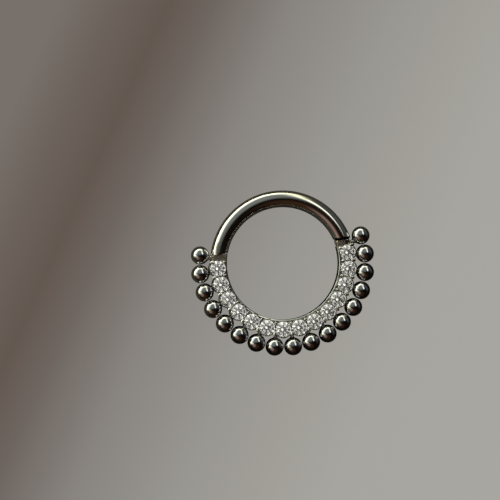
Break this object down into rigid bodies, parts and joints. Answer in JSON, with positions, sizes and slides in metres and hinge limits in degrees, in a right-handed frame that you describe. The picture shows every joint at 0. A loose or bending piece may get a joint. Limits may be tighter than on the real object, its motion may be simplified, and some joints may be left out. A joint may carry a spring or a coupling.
{
  "type": "hinged clicker ring for a piercing",
  "caption": "Hinged clicker ring: a round wire that swings on a pin, and a front-facing arc of claw-set round stones with a rim of small beads.",
  "frame": {"origin": "middle of the ring's hole, on the surface that the ring lies on", "axes": "+Z out of the stones' side, the front; -Y to the middle of the beaded arc; +X to the hinge; the straight cut between wire and arc is parallel to X"},
  "size_m": [0.0132, 0.0118, 0.0013],
  "materials": {
    "setting_steel": "cast and polished steel, slightly worn",
    "wire_steel": "polished steel wire with fine scratches",
    "pin_steel": "steel pin, ends dressed flush",
    "clear_stone": "clear round brilliant, polished facets"
  },
  "bodies": {
    "beaded_arc": {"setting_arc": "setting_steel", "hinge_pin": "pin_steel", "stone_01": "clear_stone", "stone_02": "clear_stone", "stone_03": "clear_stone", "stone_04": "clear_stone", "stone_05": "clear_stone", "stone_06": "clear_stone", "stone_07": "clear_stone", "stone_08": "clear_stone", "stone_09": "clear_stone", "stone_10": "clear_stone", "stone_11": "clear_stone", "stone_12": "clear_stone", "stone_13": "clear_stone", "stone_14": "clear_stone"},
    "hoop": {"hoop_wire": "wire_steel"}
  },
  "joints": [
    {"name": "hoop_hinge", "type": "hinge", "parent": "beaded_arc", "child": "hoop", "pos_m": [0.0047, 0.00097, 0.00061], "axis": [0, 0, -1], "range_deg": [0, 18]}
  ]
}
